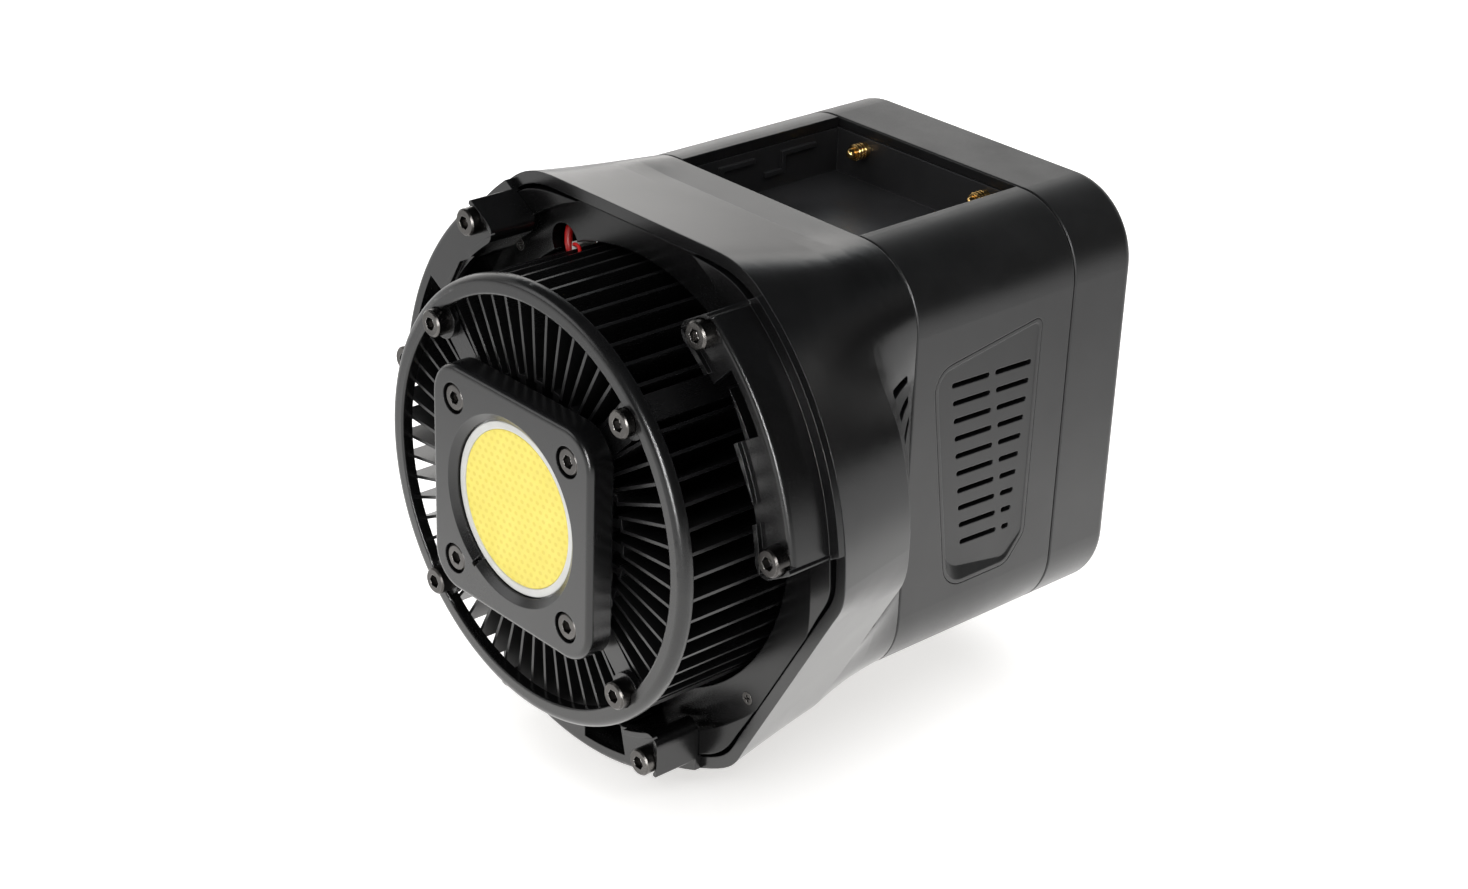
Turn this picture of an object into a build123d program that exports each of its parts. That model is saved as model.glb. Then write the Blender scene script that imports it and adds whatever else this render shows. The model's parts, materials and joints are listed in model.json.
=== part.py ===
from build123d import *
import os
from math import atan2, cos, degrees, hypot, radians, sin, sqrt

# Compact COB studio light head. Millimetres.
# +Y runs along the optical axis from the light source to the rear, +Z is up, +X is the right side.
# The origin is the centre of the emitting surface, so light leaves towards -Y.

# ---- fits and fasteners ----
CLEAR = 0.15                # assembly gap between casings
SEAM = 0.3                  # visible groove between two casings
RUN_FIT = 0.04              # radial running clearance
THREAD_FIT = 0.02           # radial gap between a screw shank and its tapped hole
M3_SHANK_R = 1.5
M3_HEAD_R = 2.75
M3_HEAD_H = 3.0
M3_HEX_AF = 2.5
M3_HEX_DEPTH = 1.6
M3_PASS_R = 1.7

# ---- stations along the optical axis ----
HOLDER_FRONT_Y = -1.7
RING_HEAD_Y = 1.0           # face of the front-ring screw heads
RING_FRONT_Y = 3.0
RING_REAR_Y = 5.45
FIN_FRONT_Y = 5.5
FIN_REAR_Y = 44.5
SEAT_HEAD_Y = 13.5          # face of the ring-seat screw heads
SEAT_PLATE_Y = 16.5
SEAT_REAR_Y = 26.1
RIM_Y = 27.0                # front rim of the collar
BAFFLE_Y = 28.3
LOBE_REAR_Y = 47.5          # where the collar begins to narrow
CREASE_Y = 53.0             # where the collar's top face turns level
SEAM_FRONT_Y = 61.26        # joint between collar and middle housing
SEAM_REAR_Y = 105.04        # joint between middle housing and rear cover
REAR_Y = 122.2
REAR_WALL = 2.4
WALL_Y = REAR_Y - REAR_WALL  # inner face of the rear wall

# ---- light engine ----
DAM_R = 17.4
PHOSPHOR_R = 15.7
HOLDER_HALF = 24.0
HOLDER_CORNER_R = 7.5
HOLDER_SCREW = 17.16        # holder screws at plus and minus this in X and Z
RING_SCREW = 28.0           # ring screws at plus and minus this in X and Z
RING_R = 44.6
RING_BORE_R = 40.7
FIN_R = 44.0
HUB_R = 21.0
FORK_R = 24.6               # radius where a stem splits into two fins
RIB_W = 5.2
FIN_T = 0.65
STEM_W = 1.7
FIN_PITCH = 6.0             # degrees
FINS_PER_QUARTER = 14
BOARD_HALF = 18.5
BOARD_Y = 0.65
BOARD_T = 1.0
BOARD_NOTCH_R = 4.4
PAD_T = 0.3
PAD_Y = BOARD_Y + BOARD_T
PLATFORM_Y = PAD_Y + PAD_T
HOLDER_BACK_Y = 3.6

# ---- ring seats ----
SEAT_ANGLES = (30.0, 150.0, 270.0)
SEAT_SCREW_R = 55.3
SEAT_SCREW_ANGLE = 22.4     # from the middle of the seat
SEAT_IN_R = 49.8
SEAT_OUT_R = 58.6
SEAT_HALF_W = 24.3
SEAT_T = 1.6
SEAT_NOTCH_R = 56.0         # how far out the wedge cut beside a seat's middle reaches
LIP_Y = 15.5                # front edge of a seat's end walls
LIP_T = 1.1

# ---- collar: (circle radius, top chord distance, lower chord distance) at its stations ----
RIM_LOBE = (61.2, 53.5, 54.6)
REAR_LOBE = (57.0, 49.7, 52.5)
CREASE_LOBE = (57.0, 48.74, 52.5)
CHORD_TOP = 90.0
CHORD_ANGLES = (-30.0, 90.0, 210.0)
TOP_CHORD_SOFTNESS = 3.2    # how far a chord's corner rounding reaches
LOW_CHORD_SOFTNESS = 1.1
SECTION_POINTS = 90         # points round a collar section
RIM_WALL = 2.4
COLLAR_WALL = 2.0
BAFFLE_T = 2.0
BAFFLE_BORE_R = 45.0
BAFFLE_SCREW_R = 50.0
BAFFLE_HEAD_R = 1.3
BAFFLE_SHANK_R = 0.9
WIRE_HOLE = (-21.2, 40.2)
WIRE_HOLE_R = 4.0
PLUG_CENTRE = (-18.75, 30.95, 39.8)
PLUG_SIZE = (2.1, 4.1, 2.0)
SHOULDER_Y = SEAT_REAR_Y + 0.1
SHOULDER_IN_R = 52.9

# ---- box body ----
BODY_HALF_W = 42.45
BODY_TOP = 48.64
BODY_BOTTOM = -42.65
TOP_CORNER_R = 15.5
BOTTOM_CORNER_R = 16.0
BODY_WALL = 2.2

# ---- top bay and contacts ----
BAY_HALF_W = 25.5
BAY_FRONT_Y = 62.1
BAY_REAR_Y = 104.95
BAY_FLOOR_Z = 36.8
TRAY_T = 1.6
PIN_X = 17.3
PIN_Z = 43.7
PIN_TIP_Y = 100.0
PIN_R = 1.1
PIN_REAR_Y = 107.3
SLEEVE_R = 1.6
SLEEVE_FRONT_Y = 101.5
SPRING_REAR_Y = 110.4

# ---- fan ----
FAN_FRONT_Y = 44.7
FAN_T = 15.0
FAN_HALF = 35.0
FAN_CORNER_R = 12.5
FAN_BORE_R = 33.3
FAN_TIP_R = 32.5
FAN_HUB_R = 15.0
FAN_BLADES = 7
SHAFT_R = 1.5
BEARING_R = 3.0
FAN_REAR_Y = FAN_FRONT_Y + FAN_T
HUB_FRONT_Y = FAN_FRONT_Y + 1.3
STRUT_Y = FAN_REAR_Y - 1.6

# ---- rear controls ----
PANEL_W = 58.0
PANEL_H = 48.0
PANEL_T = 1.2
PANEL_Z = 14.0
KNOB_X = 18.0
KNOB_Z = 16.0
KNOB_R = 9.0
KNOB_L = 10.0
ENCODER_SHAFT_R = 3.0
DISPLAY_X = -9.0
DISPLAY_Z = 20.0
DISPLAY_W = 32.0
DISPLAY_H = 22.0
BUTTON_R = 4.0
BUTTON_Z = -2.5
BUTTON_XS = (-20.0, -4.0)
SWITCH_X = -16.0
ROCKER_AXIS_Y = REAR_Y - 4.0
ROCKER_TILT = 8.0
ROCKER_PIN_R = 1.2
LOWER_Z = -25.0
JACK_X = 18.0
BOARD_REAR_Y = REAR_Y - 6.0
CONTROL_BOARD_T = 1.6
COVER_SCREWS = ((34.2, 40.4), (-34.2, 40.4), (33.9, -34.1), (-33.9, -34.1))
BOARD_POSTS = ((26, 32.5), (-28, 35.5), (26, -7), (-28, -9))

# ---- driver ----
DRIVER_Z = -27.0
DRIVER_T = 1.6
DRIVER_TOP = DRIVER_Z + DRIVER_T
DRIVER_POSTS = ((27, 71), (-27, 71), (27, 93), (-27, 93))


# ======== shared shapes ========

def along_y(shape2d, start, end):
    """Extrudes a face drawn in (X, Z) from y=start to y=end."""
    plane = Plane(origin=(0, start, 0), x_dir=(1, 0, 0), z_dir=(0, -1, 0))
    return extrude(plane * shape2d, amount=end - start, dir=(0, 1, 0))


def rod(radius, start, end, x=0.0, z=0.0):
    """A cylinder along Y."""
    return along_y(Pos(x, z) * Circle(radius), start, end)


def tube(outer, inner, start, end, x=0.0, z=0.0):
    """A hollow cylinder along Y."""
    return along_y(Pos(x, z) * (Circle(outer) - Circle(inner)), start, end)


def block(x0, x1, y0, y1, z0, z1):
    """An axis-aligned box from its two corners."""
    centre = Pos((x0 + x1) / 2, (y0 + y1) / 2, (z0 + z1) / 2)
    return centre * Box(x1 - x0, y1 - y0, z1 - z0)


def cone_y(front_r, rear_r, start, end, x=0.0, z=0.0):
    """A truncated cone along Y."""
    front = Plane(origin=(x, start, z), x_dir=(1, 0, 0), z_dir=(0, -1, 0)) * Circle(front_r)
    rear = Plane(origin=(x, end, z), x_dir=(1, 0, 0), z_dir=(0, -1, 0)) * Circle(rear_r)
    return loft([front, rear])


def spin(shape, angle):
    """Turns a shape about the optical axis, counter-clockwise as seen from the front."""
    return Rot(0, -angle, 0) * shape


def polar(radius, angle):
    """The (x, z) point at a radius and an angle about the optical axis."""
    return radius * cos(radians(angle)), radius * sin(radians(angle))


def one(shape):
    """The single solid that a shape is made of."""
    return shape.solids().sort_by(SortBy.VOLUME)[-1]


def socket_screw(x, z, head_y, length, shank_r=M3_SHANK_R, head_r=M3_HEAD_R, head_h=M3_HEAD_H):
    """A socket cap screw whose head face is at head_y and whose shank points to the rear."""
    head = rod(head_r, head_y, head_y + head_h, x, z)
    head = chamfer(head.edges().filter_by(GeomType.CIRCLE).group_by(Axis.Y)[0], 0.35)
    shank = rod(shank_r, head_y + head_h, head_y + head_h + length, x, z)
    hexagon = RegularPolygon(M3_HEX_AF / 2 / cos(radians(30)), 6)
    socket = along_y(Pos(x, z) * hexagon, head_y - 1, head_y + M3_HEX_DEPTH)
    return one(head + shank - socket)


def rear_screw(x, z, head_y, length, head_h=M3_HEAD_H):
    """A socket cap screw whose head face looks to the rear at head_y."""
    forward = socket_screw(x, -z, -head_y, length, head_h=head_h)
    return Rot(180, 0, 0) * forward


def rounded_rect(width, height, radius, x=0.0, z=0.0):
    return Pos(x, z) * RectangleRounded(width, height, radius)


def along_x(shape2d, start, end):
    """Extrudes a face drawn in (Y, Z) from x=start to x=end."""
    plane = Plane(origin=(start, 0, 0), x_dir=(0, 1, 0), z_dir=(1, 0, 0))
    return extrude(plane * shape2d, amount=end - start, dir=(1, 0, 0))


def both_sides(shape):
    """A right-hand shape with its mirror image on the left."""
    return [shape, mirror(shape, about=Plane.YZ)]


def body_outline(inset):
    """The box body's section in (X, Z), drawn inset from its outer face."""
    half = BODY_HALF_W - inset
    top = BODY_TOP - inset
    bottom = BODY_BOTTOM + inset
    sharp = Pos(0, (top + bottom) / 2) * Rectangle(2 * half, top - bottom)
    shaped = fillet(sharp.vertices().group_by(Axis.Y)[-1], TOP_CORNER_R - inset)
    return fillet(shaped.vertices().group_by(Axis.Y)[0], BOTTOM_CORNER_R - inset)


def body_tube(outer, inner, start, end):
    """A ring of the box body's section between two insets."""
    return along_y(body_outline(outer) - body_outline(inner), start, end)


# ======== screw positions ========

HOLDER_SCREWS = [(sx * HOLDER_SCREW, sz * HOLDER_SCREW) for sx in (1, -1) for sz in (1, -1)]
RING_SCREWS = [(sx * RING_SCREW, sz * RING_SCREW) for sx in (1, -1) for sz in (1, -1)]
SEAT_SCREWS = [polar(SEAT_SCREW_R, seat + offset) for seat in SEAT_ANGLES
               for offset in (SEAT_SCREW_ANGLE, -SEAT_SCREW_ANGLE)]
BAFFLE_SCREWS = [polar(BAFFLE_SCREW_R, angle) for angle in (45, 135, 225, 315)]


# ======== collar sections ========

def mix(first, second, share):
    """A value part of the way from one value to another."""
    return first + (second - first) * share


def ease(value, start, end):
    """Zero before start, one after end and a smooth step between them."""
    share = min(max((value - start) / (end - start), 0), 1)
    return share * share * (3 - 2 * share)


def soft_min(first, second, softness):
    """The lesser of two values, rounded off where they are nearly equal."""
    overlap = max(softness - abs(first - second), 0) / softness
    return min(first, second) - overlap * overlap * softness / 4


def lobe_radius(angle, lobe, inset):
    """Radius at an angle of a circle cut by three chords with rounded corners."""
    circle_r, top, low = (value - inset for value in lobe)
    radius = circle_r
    for normal in CHORD_ANGLES:
        facing = cos(radians(angle - normal))
        if facing > 0.5 and normal == CHORD_TOP:
            radius = soft_min(radius, top / facing, TOP_CHORD_SOFTNESS)
        elif facing > 0.5:
            radius = soft_min(radius, low / facing, LOW_CHORD_SOFTNESS)
    return radius


def body_radius(angle, inset):
    """Radius at an angle of the box body's rounded section."""
    across = max(abs(cos(radians(angle))), 1e-9)
    upward = sin(radians(angle))
    half = BODY_HALF_W - inset
    reach = (BODY_TOP if upward > 0 else -BODY_BOTTOM) - inset
    corner = (TOP_CORNER_R if upward > 0 else BOTTOM_CORNER_R) - inset
    upward = max(abs(upward), 1e-9)
    straight = min(half / across, reach / upward)
    centre_x = half - corner
    centre_z = reach - corner
    if straight * across <= centre_x or straight * upward <= centre_z:
        return straight
    along = centre_x * across + centre_z * upward
    return along + sqrt(corner ** 2 - hypot(centre_x, centre_z) ** 2 + along ** 2)


def upper_corner_share(angle):
    """One at the collar's two upper corners, where it runs straight from rim to body, else zero."""
    from_top = abs((angle + 90) % 360 - 180)
    return ease(from_top, 22, 36) * (1 - ease(from_top, 46, 68))


def polar_face(radius_at, y):
    """A flat face at y whose edge is a smooth closed curve given by its radius at every angle."""
    points = []
    for index in range(SECTION_POINTS):
        angle = 360 / SECTION_POINTS * index
        x, z = polar(radius_at(angle), angle)
        points.append((x, y, z))
    stations = [index / SECTION_POINTS for index in range(SECTION_POINTS + 1)]
    return Face(Wire([Edge.make_spline(points, periodic=True, parameters=stations)]))


def collar_face(lobe, share, inset, y):
    """The collar's section at y: a lobe part of the way to the body, with its upper corners eased."""
    straight_share = (y - RIM_Y) / (SEAM_FRONT_Y - RIM_Y)

    def radius_at(angle):
        body = body_radius(angle, inset)
        stepped = mix(lobe_radius(angle, lobe, inset), body, share)
        straight = mix(lobe_radius(angle, RIM_LOBE, inset), body, straight_share)
        return mix(stepped, straight, upper_corner_share(angle))

    return polar_face(radius_at, y)


def collar_solid(rim_inset, inset, start=RIM_Y, end=SEAM_FRONT_Y - SEAM / 2):
    """The collar's filled shape, inset from its outer face by one amount at the rim and one behind."""
    crease_share = (CREASE_Y - LOBE_REAR_Y) / (SEAM_FRONT_Y - LOBE_REAR_Y)
    sections = [
        collar_face(RIM_LOBE, 0, rim_inset, start),
        collar_face(REAR_LOBE, 0, inset, LOBE_REAR_Y),
        collar_face(CREASE_LOBE, crease_share, inset, CREASE_Y),
        collar_face(CREASE_LOBE, 1, inset, end),
    ]
    return one(loft(sections, ruled=True))


def lobe_prism(lobe, inset, start, end):
    """A straight prism of the collar's lobed outline."""
    face = polar_face(lambda angle: lobe_radius(angle, lobe, inset), start)
    return extrude(face, amount=end - start, dir=(0, 1, 0))


# ======== light engine ========

def board_outline(inset, notch_r=BOARD_NOTCH_R):
    """The square LED board's outline with a notch round each holder screw."""
    face = Rectangle(2 * (BOARD_HALF - inset), 2 * (BOARD_HALF - inset))
    for x, z in HOLDER_SCREWS:
        face -= Pos(x, z) * Circle(notch_r + inset)
    return face


def make_phosphor():
    disc = rod(PHOSPHOR_R, 0, BOARD_Y)
    return fillet(disc.edges().filter_by(GeomType.CIRCLE).group_by(Axis.Y)[0], 0.2)


def make_dam():
    ring = tube(DAM_R, PHOSPHOR_R, -0.15, BOARD_Y)
    return fillet(ring.edges().filter_by(GeomType.CIRCLE).group_by(Axis.Y)[0], 0.3)


def make_board():
    return along_y(board_outline(0), BOARD_Y, PAD_Y)


def make_pad():
    return along_y(board_outline(0.5), PAD_Y, PLATFORM_Y)


def make_holder():
    """Square holder plate: round window, four counterbores and a pocket for the LED board."""
    window_r = DAM_R + CLEAR
    chamfer_r = 19.1
    chamfer_depth = 1.1
    bore_floor = 1.6
    pocket_front = BOARD_Y - 0.05
    outline = rounded_rect(2 * HOLDER_HALF, 2 * HOLDER_HALF, HOLDER_CORNER_R)
    plate = along_y(outline, HOLDER_FRONT_Y, HOLDER_BACK_Y)
    plate = fillet(plate.edges().group_by(Axis.Y)[0], 1.2)
    plate -= rod(window_r, HOLDER_FRONT_Y - 1, HOLDER_BACK_Y)
    plate -= cone_y(chamfer_r, window_r, HOLDER_FRONT_Y, HOLDER_FRONT_Y + chamfer_depth)
    plate -= along_y(board_outline(-CLEAR), pocket_front, HOLDER_BACK_Y + 1)
    for x, z in HOLDER_SCREWS:
        plate -= rod(M3_HEAD_R + 0.4, HOLDER_FRONT_Y - 1, bore_floor, x, z)
        plate -= rod(M3_PASS_R, bore_floor - 1, HOLDER_BACK_Y + 1, x, z)
    notch = block(window_r - 1, chamfer_r + 0.6, HOLDER_FRONT_Y - 1, pocket_front + 0.1, -0.5, 0.5)
    return one(plate - spin(notch, 235))


def make_holder_screws():
    head_y = HOLDER_FRONT_Y + 0.25
    return [socket_screw(x, z, head_y, 9.0) for x, z in HOLDER_SCREWS]


def fin_sketch():
    """The heatsink's section: hub, four ribs, and stems that each split into two fins."""
    pieces = []
    stems = FINS_PER_QUARTER // 2
    for quarter in range(4):
        rib_angle = 45 + 90 * quarter
        rib = Pos(FIN_R / 2, 0) * Rectangle(FIN_R, RIB_W)
        pieces.append(Rot(0, 0, rib_angle) * rib)
        for index in range(stems):
            middle = rib_angle + FIN_PITCH * (2 * index + 1.5)
            stem = Pos((HUB_R + FORK_R) / 2 - 0.5, 0) * Rectangle(FORK_R - HUB_R + 1, STEM_W)
            fork = Pos(FORK_R, 0) * Rectangle(FIN_T, FORK_R * radians(FIN_PITCH) + FIN_T)
            pieces += [Rot(0, 0, middle) * stem, Rot(0, 0, middle) * fork]
            for side in (-0.5, 0.5):
                fin = Pos((FORK_R + FIN_R) / 2, 0) * Rectangle(FIN_R - FORK_R, FIN_T)
                pieces.append(Rot(0, 0, middle + side * FIN_PITCH) * fin)
    section = Circle(HUB_R) + pieces
    return section & Circle(FIN_R)


def make_heatsink():
    """Radial heatsink with a raised platform for the LED board and tapped ribs."""
    tap = M3_SHANK_R + THREAD_FIT
    foot = 2 * HOLDER_HALF - 5.0
    body = along_y(fin_sketch(), FIN_FRONT_Y, FIN_REAR_Y)
    body += along_y(rounded_rect(foot, foot, HOLDER_CORNER_R), HOLDER_BACK_Y + 0.02, FIN_FRONT_Y + 0.5)
    body += along_y(board_outline(0.3), PLATFORM_Y, HOLDER_BACK_Y + 0.5)
    body -= rod(WIRE_HOLE_R + 0.3, 27.0, 36.5, *WIRE_HOLE)
    for x, z in HOLDER_SCREWS:
        body -= rod(tap, PLATFORM_Y, 13.0, x, z)
    for x, z in RING_SCREWS:
        body -= rod(tap, FIN_FRONT_Y - 1, 16.0, x, z)
        body -= rod(tap, 34.0, FIN_REAR_Y + 1, x, z)
    return one(body)


def make_front_ring():
    """Round ring with four ears that sit on the heatsink's ribs."""
    seat = RING_HEAD_Y + M3_HEAD_H
    ring = tube(RING_R, RING_BORE_R, RING_FRONT_Y, RING_REAR_Y)
    front = ring.edges().filter_by(GeomType.CIRCLE).group_by(Axis.Y)[0].sort_by(SortBy.RADIUS)
    ring = fillet(front[-1], 1.8)
    front = ring.edges().filter_by(GeomType.CIRCLE).group_by(Axis.Y)[0].sort_by(SortBy.RADIUS)
    ring = fillet(front[0], 0.5)
    for x, z in RING_SCREWS:
        ring += rod(3.7, seat, FIN_FRONT_Y - 0.02, x, z)
    for x, z in RING_SCREWS:
        ring -= rod(M3_HEAD_R + 0.15, RING_FRONT_Y - 1, seat, x, z)
        ring -= rod(M3_PASS_R, seat - 1, RING_REAR_Y + 1, x, z)
    return one(ring)


def make_ring_screws():
    return [socket_screw(x, z, RING_HEAD_Y, 10.0) for x, z in RING_SCREWS]


# ======== front baffle and ring seats ========

def make_shoulder():
    """A raised pad for one ring seat, at angle zero, that ramps down to the baffle at both ends."""
    flat_half = SEAT_HALF_W + 0.8
    ramp_half = 43.0
    lean = 8.0
    back = BAFFLE_Y + 0.5
    foot = BAFFLE_Y + 0.02
    ramps = [
        Bezier((side * flat_half, SHOULDER_Y), (side * (flat_half + lean), SHOULDER_Y),
               (side * (ramp_half - lean), foot), (side * ramp_half, foot))
        for side in (1, -1)
    ]
    edges = [
        Line((-flat_half, SHOULDER_Y), (flat_half, SHOULDER_Y)),
        ramps[0],
        Line((ramp_half, foot), (ramp_half, back)),
        Line((ramp_half, back), (-ramp_half, back)),
        Line((-ramp_half, back), (-ramp_half, foot)),
        ramps[1],
    ]
    plane = Plane(origin=(0, 0, 0), x_dir=(0, 0, 1), z_dir=(-1, 0, 0))
    reach = 64.0
    bar = extrude(plane * make_face(edges), amount=reach, dir=(1, 0, 0))
    return bar & tube(reach, SHOULDER_IN_R, SHOULDER_Y - 1, back + 1)


def make_baffle():
    """Recessed front plate: heatsink opening, wire hole, three shoulders and six tapped bosses."""
    rim_taper = 0.75
    outline = [value - rim_taper for value in RIM_LOBE]
    wall_gap = RIM_WALL + CLEAR
    tap = M3_SHANK_R + THREAD_FIT
    back = BAFFLE_Y + BAFFLE_T
    plate = lobe_prism(outline, wall_gap, BAFFLE_Y, back)
    edge = lobe_prism(outline, wall_gap, SHOULDER_Y - 1, back)
    shoulder = make_shoulder()
    for angle in SEAT_ANGLES:
        plate += spin(shoulder, angle) & edge
    bosses = [rod(3.4, back - 0.5, 34.5, x, z) for x, z in SEAT_SCREWS]
    inside = collar_solid(wall_gap, wall_gap)
    for boss in bosses:
        plate += boss & inside
    plate -= rod(BAFFLE_BORE_R, SHOULDER_Y - 1, back + 1)
    plate -= rod(WIRE_HOLE_R, SHOULDER_Y - 1, back + 1, *WIRE_HOLE)
    for angle in SEAT_ANGLES:
        plate -= seat_notch(angle, -1, 12.5, SEAT_NOTCH_R, SHOULDER_Y - 1, back + 1)
    for x, z in SEAT_SCREWS:
        plate -= rod(tap, SHOULDER_Y - 1, 36.0, x, z)
    for x, z in BAFFLE_SCREWS:
        plate -= cone_y(BAFFLE_HEAD_R + 0.05, BAFFLE_SHANK_R + 0.1, BAFFLE_Y - 0.01, BAFFLE_Y + 0.8, x, z)
        plate -= rod(BAFFLE_SHANK_R + 0.1, BAFFLE_Y, back + 1, x, z)
    return one(plate)


def seat_notch(angle, start, stop, radius, y0, y1):
    """A wedge between two angles from a seat's middle, out to a radius, for cutting."""
    reach = radius / cos(radians((stop - start) / 2))
    wedge = Polygon((0, 0), polar(reach, start), polar(reach, stop), align=None)
    ring = (Circle(radius) - Circle(BAFFLE_BORE_R - 1)) & wedge
    return spin(along_y(ring, y0, y1), angle)


def make_baffle_screws():
    """Small countersunk screws into the collar's posts."""
    screws = []
    for x, z in BAFFLE_SCREWS:
        head = cone_y(BAFFLE_HEAD_R, BAFFLE_SHANK_R, BAFFLE_Y, BAFFLE_Y + 0.8, x, z)
        shank = rod(BAFFLE_SHANK_R, BAFFLE_Y + 0.7, BAFFLE_Y + 9.0, x, z)
        slots = [Pos(x, z) * Rot(0, 0, turn) * Rectangle(1.7, 0.4) for turn in (20, 110)]
        screws.append(one(head + shank - along_y(slots[0] + slots[1], BAFFLE_Y - 1, BAFFLE_Y + 0.5)))
    return screws


def seat_outline(inset):
    """One ring seat's outline at angle zero: an arc band with square-cut ends."""
    half = SEAT_HALF_W - inset
    band = Circle(SEAT_OUT_R - inset) - Circle(SEAT_IN_R + inset)
    face = band & (Pos(SEAT_OUT_R / 2 + 5, 0) * Rectangle(SEAT_OUT_R, 2 * half))
    inner = face.vertices().sort_by(lambda v: v.X)[:2]
    return fillet(inner, 2.6 - inset)


def seat_lips(reach):
    """Outline of a seat's end walls, which stand just proud of its outer wall, and of its inner lips."""
    outline = seat_outline(0)
    end_x = sqrt((SEAT_OUT_R + 0.5) ** 2 - SEAT_HALF_W ** 2)
    start_x = end_x - 5.0
    lips = outline & (Circle(SEAT_IN_R + LIP_T) - Rectangle(2 * SEAT_IN_R, 2 * reach))
    lips += outline - Rectangle(3 * SEAT_OUT_R, 2 * (SEAT_HALF_W - LIP_T))
    for side in (1, -1):
        middle = side * (SEAT_HALF_W - LIP_T / 2)
        lips += Pos((start_x + end_x) / 2, middle) * RectangleRounded(end_x - start_x, LIP_T, 0.5)
    return lips


def make_seat(angle):
    """One accessory-ring seat: front plate with a notch, outer wall, end walls and inner lips."""
    wall_reach = 14.0
    hollow_y = SEAT_PLATE_Y + SEAT_T
    shell = along_y(seat_outline(0), SEAT_PLATE_Y, SEAT_REAR_Y)
    front_arc = shell.edges().filter_by(GeomType.CIRCLE).group_by(Axis.Y)[0].sort_by(SortBy.RADIUS)[-1]
    shell = fillet(front_arc, 1.1)
    shell -= along_y(seat_outline(1.5), hollow_y, SEAT_REAR_Y + 1)
    shell -= block(SEAT_IN_R - 6, SEAT_IN_R + 1.7, hollow_y, SEAT_REAR_Y + 1, -wall_reach, wall_reach)
    shell += along_y(seat_lips(wall_reach), LIP_Y, SEAT_REAR_Y)
    flange = Circle(RIM_LOBE[0] - 0.1) - Circle(SEAT_OUT_R - 0.4)
    flange &= Pos(SEAT_OUT_R, 0) * Rectangle(SEAT_OUT_R, 2 * SEAT_HALF_W)
    shell += along_y(flange, SEAT_REAR_Y - 0.6, RIM_Y - 0.05)
    screws = [polar(SEAT_SCREW_R, side * SEAT_SCREW_ANGLE) for side in (1, -1)]
    inside = along_y(seat_outline(0.5), hollow_y - 1, SEAT_REAR_Y)
    for x, z in screws:
        shell += rod(3.2, hollow_y - 0.2, SEAT_REAR_Y, x, z) & inside
    for x, z in screws:
        shell -= rod(M3_PASS_R, SEAT_PLATE_Y - 1, SEAT_REAR_Y + 1, x, z)
        shell -= rod(M3_HEAD_R + 0.2, LIP_Y - 1, SEAT_PLATE_Y, x, z)
    turned = spin(one(shell), angle)
    return one(turned - seat_notch(angle, 1, 14, SEAT_NOTCH_R, LIP_Y - 1, hollow_y + 0.2))


def make_seat_screws():
    return [socket_screw(x, z, SEAT_HEAD_Y, 16.5, head_h=SEAT_PLATE_Y - SEAT_HEAD_Y) for x, z in SEAT_SCREWS]


# ======== casings ========

def post_with_web(x, z, radius, start, end):
    """A screw post joined to the outer wall by a radial web."""
    angle = degrees(atan2(z, x))
    reach = hypot(x, z)
    web = spin(block(reach, reach + 16, start, end, -1.2, 1.2), angle)
    return rod(radius, start, end, x, z) + web


def make_collar():
    """Three-lobed front housing that narrows to the box body."""
    skin = collar_solid(0, 0)
    hollow = collar_solid(RIM_WALL, COLLAR_WALL, start=RIM_Y - 0.1, end=SEAM_FRONT_Y)
    shell = one(skin - hollow)
    back = BAFFLE_Y + BAFFLE_T + 0.1
    end = SEAM_FRONT_Y - SEAM
    envelope = collar_solid(RIM_WALL / 2, COLLAR_WALL / 2)
    for x, z in BAFFLE_SCREWS:
        shell += post_with_web(x, z, 2.6, back, 39.0) & envelope
    for x, z in COVER_SCREWS:
        shell += post_with_web(x, z, 3.2, 50.5, end) & envelope
    for x, z in BAFFLE_SCREWS:
        shell -= rod(BAFFLE_SHANK_R + THREAD_FIT, back - 1, 38.0, x, z)
    for x, z in COVER_SCREWS:
        shell -= rod(M3_SHANK_R + THREAD_FIT, 52.0, SEAM_FRONT_Y, x, z)
    for cut in collar_vents():
        shell -= cut
    return one(shell)


def collar_vents():
    """Level air slots in the collar's narrowing sides, with one upright slot below them."""
    inner_x = 38.0
    outer_x = 58.0
    cuts = []
    for z in (26.7, 22.8, 18.8):
        slot = block(inner_x, outer_x, 50.6, 58.0, z - 0.75, z + 0.75)
        cuts += both_sides(fillet(slot.edges().filter_by(Axis.X), 0.7))
    lower = block(inner_x, outer_x, 49.5, 51.1, -22.6, -16.6)
    return cuts + both_sides(fillet(lower.edges().filter_by(Axis.X), 0.75))


def tongue(start, end):
    """A locating lip inside a casing joint, cut clear of the tray and the screw posts."""
    lip = body_tube(BODY_WALL + CLEAR, BODY_WALL + 1.4, start, end)
    lip -= block(-BAY_HALF_W - 3, BAY_HALF_W + 3, start - 1, end + 1, 30, 60)
    for x, z in COVER_SCREWS:
        lip -= rod(5.0, start - 1, end + 1, x, z)
    return lip


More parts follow.
